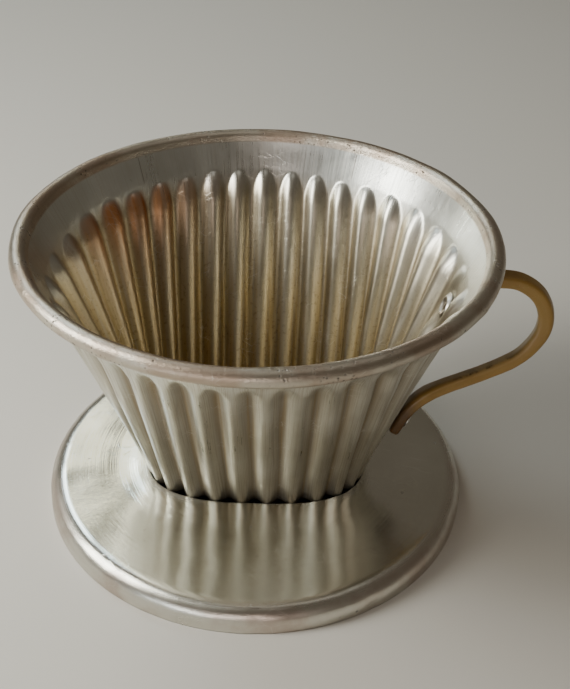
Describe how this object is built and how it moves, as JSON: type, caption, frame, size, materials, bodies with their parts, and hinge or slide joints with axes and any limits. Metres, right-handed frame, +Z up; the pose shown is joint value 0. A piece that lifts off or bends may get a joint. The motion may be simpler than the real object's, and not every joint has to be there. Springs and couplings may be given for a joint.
{
  "type": "pour over dripper",
  "caption": "Fluted metal pour-over coffee dripper: ribbed cone with a rolled rim narrowing to an oval floor, on a round saucer base, with a looped plastic side handle.",
  "frame": {"origin": "on the cone's axis, in the plane that the saucer's turned-down edge stands on", "axes": "+Z up along the cone's axis; +X towards the handle, along the long way of the oval floor; +Y across it"},
  "size_m": [0.1264, 0.112, 0.0752],
  "materials": {
    "cone_aluminium": "satin pressed aluminium, stained by coffee low in the grooves",
    "plate_aluminium": "satin aluminium with concentric brush marks and a dull patina",
    "handle_plastic": "amber-brown moulded plastic, worn semi-gloss",
    "rivet_aluminium": "satin, flattened by riveting"
  },
  "bodies": {
    "root": {"filter_cone": "cone_aluminium", "base_plate": "plate_aluminium", "handle": "handle_plastic", "handle_rivet_upper": "rivet_aluminium", "handle_rivet_lower": "rivet_aluminium"}
  },
  "joints": []
}
